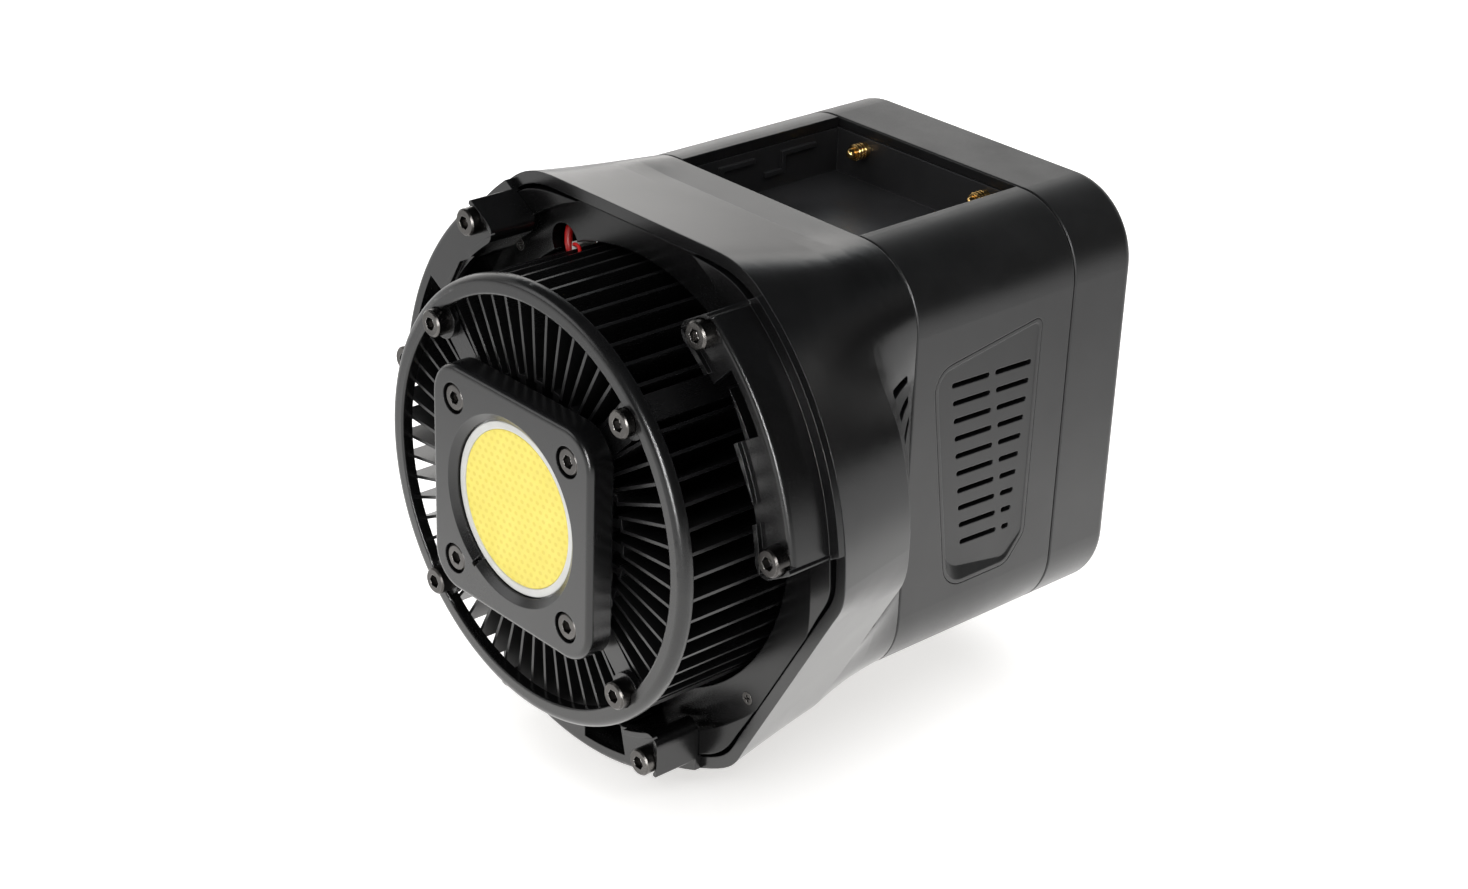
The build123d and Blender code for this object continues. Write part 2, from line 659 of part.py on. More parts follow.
def make_mid_housing():
    """Rounded rectangular tube with the bay opening, grille openings, posts and driver pillars."""
    start = SEAM_FRONT_Y + SEAM / 2
    end = SEAM_REAR_Y - SEAM / 2
    shell = body_tube(0, BODY_WALL, start, end)
    ends = shell.faces().filter_by(Axis.Y).sort_by(Axis.Y)
    shell = chamfer(ends[0].outer_wire().edges() + ends[-1].outer_wire().edges(), 0.25)
    shell += tongue(start - 2.6, start + 0.6)
    shell -= block(-BAY_HALF_W, BAY_HALF_W, start - 4, end + 1, 40, 60)
    for opening in both_sides(along_x(grille_outline(0), 38, 44)):
        shell -= opening
    envelope = along_y(body_outline(BODY_WALL / 2), start, end)
    for x, z in COVER_SCREWS:
        shell += post_with_web(x, z, 3.2, 95.0, end) & envelope
        shell -= rod(M3_PASS_R, 94.0, end + 1, x, z)
    for x, y in DRIVER_POSTS:
        floor = BODY_BOTTOM + BODY_WALL
        pillar = Pos(x, y, (floor + DRIVER_Z) / 2 - 0.25) * Cylinder(3.0, DRIVER_Z - floor + 0.5)
        shell += pillar
        shell -= Pos(x, y, DRIVER_Z - 4) * Cylinder(M3_SHANK_R + THREAD_FIT, 10)
    return one(shell)


def grille_outline(inset, lift=0.0):
    """The side grille's outline in (Y, Z): a leaning front edge and a clipped lower rear corner."""
    low = lift - 24.3
    points = ((66.4, 24.8), (96.4, 29.2), (96.4, lift - 18.5), (91.5, low), (73.7 - lift * 0.15, low))
    radii = (5.0, 2.0, 4.0, 4.0, 6.0)
    face = Polygon(*points, align=None)
    for (y, z), radius in zip(points, radii):
        corner = face.vertices().sort_by(lambda v: (v.X - y) ** 2 + (v.Y - z) ** 2)[0]
        face = fillet(corner, radius)
    if inset == 0:
        return face
    return offset(face, amount=-inset, kind=Kind.INTERSECTION)


def grille_slots():
    """Two columns of rounded slots; each row starts a little further back than the one above."""
    rows = 10
    top_z = 19.8
    pitch = 3.93
    height = 1.1
    gap = 1.5
    slots = []
    for row in range(rows):
        share = row / (rows - 1)
        z = top_z - pitch * row
        start = 73.3 + 5.3 * share
        first = 9.8
        second_start = start + first + gap
        second = 94.2 - 2.4 * share - second_start
        for y, length in ((start, first), (second_start, second)):
            slots.append(Pos(y + length / 2, z) * RectangleRounded(length, height, height / 2 - 0.01))
    return slots


def make_grille_right():
    """Side vent insert: flush rim, a tilted recess and two columns of slots."""
    face_x = BODY_HALF_W
    inner_x = face_x - BODY_WALL - CLEAR
    plate = along_x(grille_outline(CLEAR), inner_x - 1.0, face_x)
    plate += along_x(grille_outline(-1.6), inner_x - 1.2, inner_x)
    depth = 1.9
    floor = Plane(origin=(face_x - depth, 0, 0), x_dir=(0, 1, 0), z_dir=(1, 0, 0)) * grille_outline(2.6, 2.6)
    mouth = Plane(origin=(face_x + 0.01, 0, 0), x_dir=(0, 1, 0), z_dir=(1, 0, 0)) * grille_outline(0.9)
    recess = loft([floor, mouth])
    tilt = ((face_x - depth, 66), (face_x + 2, 66), (face_x + 2, 97), (face_x - 0.05, 97))
    wedge = Polygon(*tilt, align=None)
    plate -= recess & extrude(wedge, amount=60, both=True)
    for slot in grille_slots():
        plate -= along_x(slot, inner_x - 3, face_x + 1)
    return one(plate)


def make_rear_cover():
    """Rear cap with the panel pocket, control openings and counterbored screw posts."""
    start = SEAM_REAR_Y + SEAM / 2
    cap = along_y(body_outline(0), start, REAR_Y)
    cap = fillet(cap.edges().group_by(Axis.Y)[-1], 2.0)
    cap = chamfer(cap.edges().group_by(Axis.Y)[0], 0.25)
    cap -= along_y(body_outline(BODY_WALL), start - 1, WALL_Y)
    cap += tongue(start - 2.6, start + 0.6)
    envelope = along_y(body_outline(BODY_WALL / 2), start, REAR_Y)
    for x, z in COVER_SCREWS:
        cap += post_with_web(x, z, 4.3, start + 1.2, WALL_Y + 0.2) & envelope
    for x, z in COVER_SCREWS:
        cap -= rod(M3_PASS_R, start - 4, REAR_Y + 1, x, z)
        cap -= rod(M3_HEAD_R + 0.3, REAR_Y - M3_HEAD_H - 0.3, REAR_Y + 1, x, z)
    cap -= along_y(rounded_rect(PANEL_W, PANEL_H, 5, 0, PANEL_Z), REAR_Y - PANEL_T, REAR_Y + 1)
    cap -= along_y(rounded_rect(DISPLAY_W - 2, DISPLAY_H - 2, 1, DISPLAY_X, DISPLAY_Z), WALL_Y - 1, REAR_Y)
    cap -= rod(3.7, WALL_Y - 1, REAR_Y, KNOB_X, KNOB_Z)
    for x in BUTTON_XS:
        cap -= rod(BUTTON_R + 0.06, WALL_Y - 1, REAR_Y, x, BUTTON_Z)
    cap -= along_y(rounded_rect(19.6, 13.4, 0.8, SWITCH_X, LOWER_Z), WALL_Y - 1, REAR_Y + 1)
    cap -= rod(4.1, WALL_Y - 1, REAR_Y + 1, JACK_X, LOWER_Z)
    for x, z in BOARD_POSTS:
        cap += rod(2.4, BOARD_REAR_Y, WALL_Y + 0.2, x, z)
    return one(cap)


def make_cover_screws():
    return [rear_screw(x, z, REAR_Y - 0.2, 60.0) for x, z in COVER_SCREWS]


# ======== top bay and contacts ========

def make_tray():
    """Open-topped tray: floor, four walls, stepped latch rails and two sleeve holes."""
    top = BODY_TOP - BODY_WALL - CLEAR
    half = BAY_HALF_W - 0.1
    side = half + TRAY_T
    outer = block(-side, side, BAY_FRONT_Y - TRAY_T, BAY_REAR_Y + TRAY_T, BAY_FLOOR_Z - TRAY_T, top)
    tray = outer - block(-half, half, BAY_FRONT_Y, BAY_REAR_Y, BAY_FLOOR_Z, top + 1)
    for x in (-PIN_X, PIN_X):
        tray -= rod(SLEEVE_R, BAY_REAR_Y - 1, BAY_REAR_Y + 3, x, PIN_Z)
    for rail in latch_rails(half):
        tray += rail
    return one(tray)


def latch_rails(half):
    """Stepped rails on both side walls that a sliding plate hooks under."""
    inner = half - 0.7
    outer = half + 0.3
    width = 1.0
    low_z = 39.9
    top_z = 43.7
    rails = []
    for step in (71.3, 88.4):
        low = block(inner, outer, step - 4.5, step + width, low_z, low_z + width)
        rise = block(inner, outer, step, step + width, low_z, top_z + width)
        run = block(inner, outer, step, step + 9.6, top_z, top_z + width)
        rails += both_sides(low + rise + run)
    return rails


def make_sleeves():
    """Ribbed guide sleeves pressed in the bay's rear wall."""
    sleeves = []
    for x in (-PIN_X, PIN_X):
        sleeve = rod(SLEEVE_R, SLEEVE_FRONT_Y, SPRING_REAR_Y + 0.7, x, PIN_Z)
        for rib in range(3):
            rib_y = SLEEVE_FRONT_Y + 0.4 + 0.9 * rib
            sleeve += rod(SLEEVE_R + 0.17, rib_y, rib_y + 0.5, x, PIN_Z)
        sleeve -= rod(PIN_R + RUN_FIT, SLEEVE_FRONT_Y - 1, SPRING_REAR_Y + 0.1, x, PIN_Z)
        sleeves.append(one(sleeve))
    return sleeves


def make_pin(x):
    """Sprung contact pin with a domed tip."""
    pin = rod(PIN_R, PIN_TIP_Y, PIN_REAR_Y, x, PIN_Z)
    return fillet(pin.edges().filter_by(GeomType.CIRCLE).group_by(Axis.Y)[0], 0.95)


def make_springs():
    """Compression springs behind the contact pins."""
    wire_r = 0.17
    coil_r = 0.85
    length = SPRING_REAR_Y - PIN_REAR_Y - 2 * wire_r - 0.1
    springs = []
    for x in (-PIN_X, PIN_X):
        path = Helix(pitch=length / 4, height=length, radius=coil_r)
        section = Plane(origin=path @ 0, z_dir=path % 0) * Circle(wire_r)
        coil = sweep(section, path=path)
        springs.append(Pos(x, PIN_REAR_Y + wire_r + 0.05, PIN_Z) * Rot(-90, 0, 0) * one(coil))
    return springs


# ======== fan ========

def make_fan_frame():
    """Square fan frame with a round duct, four struts and the bearing boss."""
    outline = rounded_rect(2 * FAN_HALF, 2 * FAN_HALF, FAN_CORNER_R)
    frame = along_y(outline - Circle(FAN_BORE_R), FAN_FRONT_Y, FAN_REAR_Y)
    frame += rod(13.0, STRUT_Y, FAN_REAR_Y)
    for turn in range(4):
        frame += spin(block(10, FAN_BORE_R + 1, STRUT_Y, FAN_REAR_Y, -2, 2), 90 * turn)
    frame += rod(4.4, 49.5, STRUT_Y + 0.2)
    frame -= rod(BEARING_R, 49.0, FAN_REAR_Y - 0.8)
    for x, z in RING_SCREWS:
        frame -= rod(M3_PASS_R, FAN_FRONT_Y - 1, FAN_REAR_Y + 1, x, z)
    return one(frame)


def make_fan_rotor():
    """Hub cup with seven twisted blades and a bore that grips the shaft."""
    rear = STRUT_Y - 0.8
    cup = rod(FAN_HUB_R, HUB_FRONT_Y, rear) - rod(FAN_HUB_R - 1.5, HUB_FRONT_Y + 1.5, rear + 1)
    cup = fillet(cup.edges().filter_by(GeomType.CIRCLE).group_by(Axis.Y)[0], 1.0)
    cup += rod(2.6, HUB_FRONT_Y + 1, HUB_FRONT_Y + 2.8)
    middle = (HUB_FRONT_Y + rear) / 2
    root = blade_section(FAN_HUB_R - 0.8, middle, 50)
    tip = blade_section(FAN_TIP_R, middle, 66)
    blade = loft([root, tip]) & rod(FAN_TIP_R, HUB_FRONT_Y - 5, FAN_REAR_Y)
    for turn in range(FAN_BLADES):
        cup += spin(blade, 360 / FAN_BLADES * turn)
    cup -= rod(SHAFT_R, HUB_FRONT_Y + 0.8, HUB_FRONT_Y + 4)
    return one(cup)


def blade_section(radius, middle_y, twist):
    """A thin rounded section across the radial direction, turned from the axis by its twist."""
    plane = Plane(origin=(radius, middle_y, 0), x_dir=(0, 1, 0), z_dir=(1, 0, 0))
    chord = 9.5 / cos(radians(twist)) if twist < 60 else 19.0
    return plane * (Rot(0, 0, twist) * RectangleRounded(chord, 1.2, 0.55))


def make_fan_shaft():
    return rod(SHAFT_R, HUB_FRONT_Y + 0.8, FAN_REAR_Y - 1.0)


def make_fan_bearing():
    return tube(BEARING_R, SHAFT_R + RUN_FIT, 50.0, FAN_REAR_Y - 0.8)


def make_fan_motor():
    """Nine-tooth stator on the bearing boss, inside the rotor cup."""
    teeth = 9
    section = Circle(6.5) + (Circle(12.4) - Circle(10.6))
    for tooth in range(teeth):
        section += Rot(0, 0, 360 / teeth * tooth) * Pos(8.5, 0) * Rectangle(5, 2.4)
        section -= Rot(0, 0, 360 / teeth * (tooth + 0.5)) * Pos(11.5, 0) * Rectangle(2.6, 1.2)
    return one(along_y(section - Circle(4.4), 50.5, 56.0))


def make_fan_screws():
    return [rear_screw(x, z, FAN_REAR_Y + M3_HEAD_H, 24.0) for x, z in RING_SCREWS]


# ======== driver and wiring ========

def make_driver_board():
    board = block(-32, 32, 66, 98, DRIVER_Z, DRIVER_TOP)
    for x, y in DRIVER_POSTS:
        board -= Pos(x, y, DRIVER_Z) * Cylinder(M3_PASS_R, 6)
    return one(board)


def make_driver_screws():
    down = Rot(-90, 0, 0) * socket_screw(0, 0, -2.4, 5.5, head_h=2.4)
    return [Pos(x, y, DRIVER_TOP) * down for x, y in DRIVER_POSTS]


def make_driver_coil():
    """Toroidal choke standing on the board."""
    return Pos(-13, 86, DRIVER_TOP + 3.6) * Torus(6.5, 3.6)


def make_driver_capacitors():
    cans = []
    for x, y, radius, height in ((8, 80, 5.0, 20.0), (8, 91.5, 5.0, 20.0), (19, 86, 4.0, 15.0)):
        can = Pos(x, y, DRIVER_TOP + height / 2) * Cylinder(radius, height)
        cans.append(fillet(can.edges().filter_by(GeomType.CIRCLE), 0.6))
    return cans


def make_driver_transistors():
    """Two power transistors standing at the board's front edge."""
    pair = []
    for x in (-9, 5):
        tab = block(x - 5, x + 5, 69, 70.3, DRIVER_TOP, DRIVER_TOP + 16)
        tab -= Pos(x, 69.5, DRIVER_TOP + 13.2) * Rot(90, 0, 0) * Cylinder(1.7, 6)
        pair.append(one(tab + block(x - 5, x + 5, 70.2, 73.5, DRIVER_TOP, DRIVER_TOP + 10)))
    return pair


def wire(points, radius):
    """A round cable along a smooth path."""
    path = Spline(*points)
    return one(sweep(Plane(origin=path @ 0, z_dir=path % 0) * Circle(radius), path=path))


def make_led_wire():
    """Thick red lead from the heatsink through the wire hole, past the fan, to the driver board."""
    path = ((-21.3, 30.2, 37.2), (-22.2, 30.0, 40.0), (-23.4, 31.6, 42.9), (-26.0, 37, 45.9),
            (-31.5, 44, 41.5), (-36.4, 50, 33.5), (-36.8, 60, 31.0), (-35.0, 68, 20.0),
            (-31.0, 80, -10.0), (-28.5, 82.5, DRIVER_TOP + 1.0))
    return wire(path, 0.8)


def make_sensor_wires():
    """Two thin leads from the plug to the driver board and one forward between the fins."""
    path = ((-18.3, 28.85, 40.3), (-17.2, 27.4, 41.4), (-15.2, 26.8, 41.7), (-13.3, 25.6, 40.7),
            (-12.2, 24.0, 37.6))
    leads = [wire(path, 0.35)]
    for shift in (0.0, 0.95):
        path = ((-19.2 + shift, 33.05, 39.8), (-19.7 + shift, 35.0, 43.1), (-20.5 + shift, 38, 46.4),
                (-24.0 + shift, 51, 43.0), (-29.8 + shift, 58, 38.0), (-32.0 + shift, 64, 31.5),
                (-31.6 + shift, 71, 10.0), (-25.0 + shift, 79, DRIVER_TOP + 0.9))
        leads.append(wire(path, 0.4))
    gap = 0.06
    plug_space = Pos(*PLUG_CENTRE) * Box(*[size + 2 * gap for size in PLUG_SIZE])
    return [one(lead - plug_space) for lead in leads]


def make_wire_connector():
    """Small plug between the thin leads."""
    plug = Pos(*PLUG_CENTRE) * Box(*PLUG_SIZE)
    return fillet(plug.edges().filter_by(Axis.Y), 0.3)


# ======== rear controls ========

def make_control_board():
    """Circuit board behind the rear wall, with its two upper corners cut clear of the screw posts."""
    front = BOARD_REAR_Y - CONTROL_BOARD_T
    board = block(-30.5, 29, front, BOARD_REAR_Y, -11.5, 38)
    board -= block(24.5, 32.5, front - 1, BOARD_REAR_Y + 1, 35.6, 39)
    board -= block(-32.0, -28.8, front - 1, BOARD_REAR_Y + 1, 37.2, 39)
    return one(board)


def make_control_panel():
    """Thin facing plate with openings for the display, the knob and two buttons."""
    inset = 2 * CLEAR
    outline = rounded_rect(PANEL_W - inset, PANEL_H - inset, 5 - CLEAR, 0, PANEL_Z)
    outline -= rounded_rect(DISPLAY_W, DISPLAY_H, 1.5, DISPLAY_X, DISPLAY_Z)
    outline -= Pos(KNOB_X, KNOB_Z) * Circle(4.0)
    for x in BUTTON_XS:
        outline -= Pos(x, BUTTON_Z) * Circle(BUTTON_R + 0.2)
    return one(along_y(outline, REAR_Y - PANEL_T, REAR_Y))


def make_display_window():
    inset = 2 * CLEAR
    window = along_y(rounded_rect(DISPLAY_W - inset, DISPLAY_H - inset, 1.4, DISPLAY_X, DISPLAY_Z),
                     REAR_Y - PANEL_T, REAR_Y - 0.2)
    return chamfer(window.edges().group_by(Axis.Y)[-1], 0.3)


def make_display_module():
    """Display behind its window, standing on the control board."""
    half_w = DISPLAY_W / 2 + 1.5
    half_h = DISPLAY_H / 2 + 1.5
    return block(DISPLAY_X - half_w, DISPLAY_X + half_w, BOARD_REAR_Y, WALL_Y - 0.1,
                 DISPLAY_Z - half_h, DISPLAY_Z + half_h)


def make_encoder_body():
    """Rotary encoder: square can with a round bushing through the rear wall."""
    body = block(KNOB_X - 6.5, KNOB_X + 6.5, BOARD_REAR_Y, WALL_Y - 0.1, KNOB_Z - 6.5, KNOB_Z + 6.5)
    body += rod(3.6, WALL_Y - 0.2, REAR_Y + 0.3, KNOB_X, KNOB_Z)
    body -= rod(ENCODER_SHAFT_R - 0.3 + RUN_FIT, BOARD_REAR_Y + 0.8, REAR_Y + 1, KNOB_X, KNOB_Z)
    return one(body)


def make_encoder_shaft():
    return rod(ENCODER_SHAFT_R - 0.3, BOARD_REAR_Y + 1.0, REAR_Y + 8.0, KNOB_X, KNOB_Z)


def make_knob():
    """Fluted knob with a pointer groove in its face."""
    start = REAR_Y + 0.6
    end = start + KNOB_L
    flutes = 24
    knob = rod(KNOB_R, start, end, KNOB_X, KNOB_Z)
    knob = fillet(knob.edges().filter_by(GeomType.CIRCLE).group_by(Axis.Y)[-1], 1.0)
    for index in range(flutes):
        x, z = polar(KNOB_R + 0.25, 360 / flutes * index)
        knob -= rod(0.7, start + 1.6, end + 1, KNOB_X + x, KNOB_Z + z)
    knob -= block(KNOB_X - 0.5, KNOB_X + 0.5, end - 0.5, end + 1, KNOB_Z + 3.0, KNOB_Z + 7.5)
    knob -= rod(ENCODER_SHAFT_R - 0.3, start - 1, REAR_Y + 8.0, KNOB_X, KNOB_Z)
    return one(knob)


def make_button(x):
    """Round push button with a retaining flange behind the rear wall."""
    cap = rod(BUTTON_R, WALL_Y - 0.4, REAR_Y + 1.1, x, BUTTON_Z)
    cap = fillet(cap.edges().filter_by(GeomType.CIRCLE).group_by(Axis.Y)[-1], 0.6)
    return one(cap + rod(BUTTON_R + 0.9, WALL_Y - 1.2, WALL_Y - 0.2, x, BUTTON_Z))


def make_tact_switches():
    """Push switches on the control board, one behind each button."""
    switches = []
    for x in BUTTON_XS:
        can = block(x - 3, x + 3, BOARD_REAR_Y, BOARD_REAR_Y + 1.0, BUTTON_Z - 3, BUTTON_Z + 3)
        switches.append(one(can + rod(1.6, BOARD_REAR_Y + 0.9, BOARD_REAR_Y + 1.5, x, BUTTON_Z)))
    return switches


def make_power_switch_body():
    """Snap-in rocker housing with a bezel and two pivot holes."""
    bezel_y = REAR_Y + 1.2
    back_y = REAR_Y - 14.0
    body = along_y(rounded_rect(19.2, 13.0, 0.8, SWITCH_X, LOWER_Z), back_y, REAR_Y + 0.1)
    body += along_y(rounded_rect(22.0, 15.4, 1.6, SWITCH_X, LOWER_Z), REAR_Y, bezel_y)
    body -= along_y(rounded_rect(18.2, 10.8, 0.6, SWITCH_X, LOWER_Z), REAR_Y - 9.0, bezel_y + 1)
    body -= Pos(SWITCH_X, ROCKER_AXIS_Y, LOWER_Z) * Cylinder(ROCKER_PIN_R + RUN_FIT, 12.2)
    for offset in (-5, 0, 5):
        x = SWITCH_X + offset
        body += block(x - 0.4, x + 0.4, back_y - 7.0, back_y + 0.5, LOWER_Z - 2.4, LOWER_Z + 2.4)
    return one(body)


def make_power_rocker():
    """Rocker with a hollowed face, drawn level and then tipped to its off position."""
    half_w = 8.1
    edges = [
        ThreePointArc((-half_w, 5.8), (0, 4.7), (half_w, 5.8)),
        Line((half_w, 5.8), (half_w, 3.4)),
        Line((half_w, 3.4), (3.4, -2.2)),
        Line((3.4, -2.2), (-3.4, -2.2)),
        Line((-3.4, -2.2), (-half_w, 3.4)),
        Line((-half_w, 3.4), (-half_w, 5.8)),
    ]
    body = extrude(make_face(edges), amount=5.2, both=True)
    body += Cylinder(ROCKER_PIN_R, 12.0)
    tipped = Rot(0, 0, -ROCKER_TILT) * body
    return one(Pos(SWITCH_X, ROCKER_AXIS_Y, LOWER_Z) * tipped)


def make_dc_socket():
    """Barrel power inlet with a centre pin."""
    body = block(JACK_X - 5.5, JACK_X + 5.5, REAR_Y - 13.0, WALL_Y - 0.1, LOWER_Z - 5.5, LOWER_Z + 5.5)
    body += rod(4.0, WALL_Y - 0.2, REAR_Y + 0.1, JACK_X, LOWER_Z)
    body += rod(5.8, REAR_Y, REAR_Y + 0.9, JACK_X, LOWER_Z)
    body -= rod(2.9, REAR_Y - 10.0, REAR_Y + 1, JACK_X, LOWER_Z)
    body += rod(1.05, REAR_Y - 10.5, REAR_Y - 1.0, JACK_X, LOWER_Z)
    return one(body)


# ======== output ========

def write(name, shapes):
    """Writes one node's solids as a STEP file."""
    solids = shapes if isinstance(shapes, list) else [shapes]
    node = solids[0] if len(solids) == 1 else Compound(children=[s.solid() for s in solids])
    node.label = name
    export_step(node, os.path.join("parts", name + ".step"))


def main():
    os.makedirs("parts", exist_ok=True)
    write("led_phosphor", make_phosphor())
    write("led_dam", make_dam())
    write("led_substrate", make_board())
    write("thermal_pad", make_pad())
    write("cob_holder", make_holder())
    write("cob_holder_screws", make_holder_screws())
    write("heatsink", make_heatsink())
    write("front_ring", make_front_ring())
    write("front_ring_screws", make_ring_screws())
    write("front_baffle", make_baffle())
    write("baffle_screws", make_baffle_screws())
    for name, angle in zip(("right", "left", "bottom"), SEAT_ANGLES):
        write("ring_seat_" + name, make_seat(angle))
    write("ring_seat_screws", make_seat_screws())
    write("collar", make_collar())
    write("mid_housing", make_mid_housing())
    grille_right, grille_left = both_sides(make_grille_right())
    write("grille_right", grille_right)
    write("grille_left", grille_left)
    write("rear_cover", make_rear_cover())
    write("rear_cover_screws", make_cover_screws())
    write("bay_tray", make_tray())
    write("contact_sleeves", make_sleeves())
    write("contact_pin_left", make_pin(-PIN_X))
    write("contact_pin_right", make_pin(PIN_X))
    write("contact_springs", make_springs())
    write("fan_frame", make_fan_frame())
    write("fan_rotor", make_fan_rotor())
    write("fan_shaft", make_fan_shaft())
    write("fan_bearing", make_fan_bearing())
    write("fan_motor", make_fan_motor())
    write("fan_screws", make_fan_screws())
    write("driver_board", make_driver_board())
    write("driver_screws", make_driver_screws())
    write("driver_coil", make_driver_coil())
    write("driver_capacitors", make_driver_capacitors())
    write("driver_transistors", make_driver_transistors())
    write("led_wire", make_led_wire())
    write("sensor_wires", make_sensor_wires())
    write("wire_connector", make_wire_connector())
    write("control_board", make_control_board())
    write("control_panel", make_control_panel())
    write("display_window", make_display_window())
    write("display_module", make_display_module())
    write("encoder_body", make_encoder_body())
    write("encoder_shaft", make_encoder_shaft())
    write("dimmer_knob", make_knob())
    write("mode_button", make_button(BUTTON_XS[0]))
    write("effect_button", make_button(BUTTON_XS[1]))
    write("tact_switches", make_tact_switches())
    write("power_switch_body", make_power_switch_body())
    write("power_rocker", make_power_rocker())
    write("dc_socket", make_dc_socket())


main()
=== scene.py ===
import json
import math

import bmesh
import bpy
from mathutils import Matrix, Vector

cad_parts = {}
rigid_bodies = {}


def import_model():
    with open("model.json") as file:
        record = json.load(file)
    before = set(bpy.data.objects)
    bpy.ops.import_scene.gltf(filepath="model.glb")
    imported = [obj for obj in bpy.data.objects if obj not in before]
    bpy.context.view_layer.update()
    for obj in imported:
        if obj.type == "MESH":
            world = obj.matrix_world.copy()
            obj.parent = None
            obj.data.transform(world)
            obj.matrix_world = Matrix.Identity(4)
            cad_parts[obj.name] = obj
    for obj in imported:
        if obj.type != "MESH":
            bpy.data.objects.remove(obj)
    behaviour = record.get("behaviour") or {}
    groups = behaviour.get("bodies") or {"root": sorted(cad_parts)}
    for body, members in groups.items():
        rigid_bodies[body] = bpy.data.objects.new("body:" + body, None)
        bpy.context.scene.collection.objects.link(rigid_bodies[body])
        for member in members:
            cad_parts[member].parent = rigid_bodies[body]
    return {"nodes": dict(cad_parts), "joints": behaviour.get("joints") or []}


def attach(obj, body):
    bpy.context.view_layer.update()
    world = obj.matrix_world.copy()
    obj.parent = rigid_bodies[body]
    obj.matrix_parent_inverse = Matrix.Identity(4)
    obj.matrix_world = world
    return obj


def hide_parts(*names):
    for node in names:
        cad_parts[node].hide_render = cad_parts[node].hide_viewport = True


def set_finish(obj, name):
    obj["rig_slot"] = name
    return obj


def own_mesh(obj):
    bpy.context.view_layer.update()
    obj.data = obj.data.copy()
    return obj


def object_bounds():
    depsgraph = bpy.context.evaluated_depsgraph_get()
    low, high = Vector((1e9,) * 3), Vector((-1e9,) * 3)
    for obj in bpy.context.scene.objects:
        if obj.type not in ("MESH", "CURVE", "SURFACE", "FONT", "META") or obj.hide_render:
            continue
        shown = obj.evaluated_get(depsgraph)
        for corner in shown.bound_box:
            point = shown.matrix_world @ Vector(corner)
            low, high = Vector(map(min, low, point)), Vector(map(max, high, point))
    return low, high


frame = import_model()
cad_low, cad_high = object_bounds()

# ---------------------------------------------------------------- shader graph helper


class Graph:
    """Builds one node tree. Inputs may be plain values or other nodes' sockets."""

    def __init__(self, tree):
        self.tree = tree
        tree.nodes.clear()

    def node(self, kind, inputs=None, **settings):
        made = self.tree.nodes.new("ShaderNode" + kind)
        for key, value in settings.items():
            setattr(made, key, value)
        for key, value in (inputs or {}).items():
            self.feed(made.inputs[key], value)
        return made

    def feed(self, socket, value):
        if isinstance(value, bpy.types.NodeSocket):
            self.tree.links.new(value, socket)
        elif socket.type == "RGBA" and not hasattr(value, "__len__"):
            socket.default_value = (value, value, value, 1)
        elif socket.type == "RGBA" and len(value) == 3:
            socket.default_value = (*value, 1)
        else:
            socket.default_value = value

    def math(self, operation, a, b=0.0):
        return self.node("Math", {0: a, 1: b}, operation=operation).outputs[0]

    def add(self, a, b):
        return self.math("ADD", a, b)

    def times(self, a, b):
        return self.math("MULTIPLY", a, b)

    def vector(self, operation, a, b=(0, 0, 0), output="Vector"):
        return self.node("VectorMath", {0: a, 1: b}, operation=operation).outputs[output]

    def span(self, value, low, high, to_low=0.0, to_high=1.0, smooth=False):
        """Maps low..high to to_low..to_high and stops at both ends."""
        limits = {"From Min": low, "From Max": high, "To Min": to_low, "To Max": to_high}
        kind = "SMOOTHSTEP" if smooth else "LINEAR"
        made = self.node("MapRange", {"Value": value, **limits}, interpolation_type=kind, clamp=True)
        return made.outputs[0]

    def mix(self, share, a, b):
        """A colour part of the way from a to b."""
        made = self.node("Mix", data_type="RGBA")
        self.feed(made.inputs[0], share)
        self.feed(made.inputs[6], a)
        self.feed(made.inputs[7], b)
        return made.outputs[2]

    def stretched(self, scale):
        coords = self.node("TexCoord").outputs["Object"]
        return self.node("Mapping", {"Vector": coords, "Scale": scale}).outputs[0]

    def noise(self, size, detail=2.0, rough=0.5, stretch=(1, 1, 1)):
        """Noise whose blobs are about `size` metres across."""
        settings = {"Scale": 1 / size, "Detail": detail, "Roughness": rough}
        return self.node("TexNoise", {"Vector": self.stretched(stretch), **settings}).outputs["Fac"]

    def cells(self, size):
        """Distance to the middle of the nearest of many cells about `size` metres across."""
        settings = {"Vector": self.stretched((1, 1, 1)), "Scale": 1 / size}
        return self.node("TexVoronoi", settings, feature="F1").outputs["Distance"]

    def bump(self, height, distance, **normal):
        return self.node("Bump", {"Height": height, "Distance": distance, **normal}).outputs[0]

    def end_with_surface(self, inputs):
        surface = self.node("BsdfPrincipled", inputs)
        self.node("OutputMaterial", {"Surface": surface.outputs[0]})


def new_material(name):
    """A new material and its graph."""
    material = bpy.data.materials.new(name)
    material.use_nodes = True
    return material, Graph(material.node_tree)


# ---------------------------------------------------------------- materials


def edge_mask(g, radius):
    """Normals rounded over sharp edges, and a mask that is 1 on those edges and 0 on flat faces."""
    least_turn = 0.02
    full_turn = 0.25
    rounded = g.node("Bevel", {"Radius": radius}, samples=4).outputs[0]
    flat = g.node("NewGeometry").outputs["Normal"]
    facing = g.vector("DOT_PRODUCT", rounded, flat, output="Value")
    return rounded, g.span(g.math("SUBTRACT", 1.0, facing), least_turn, full_turn)


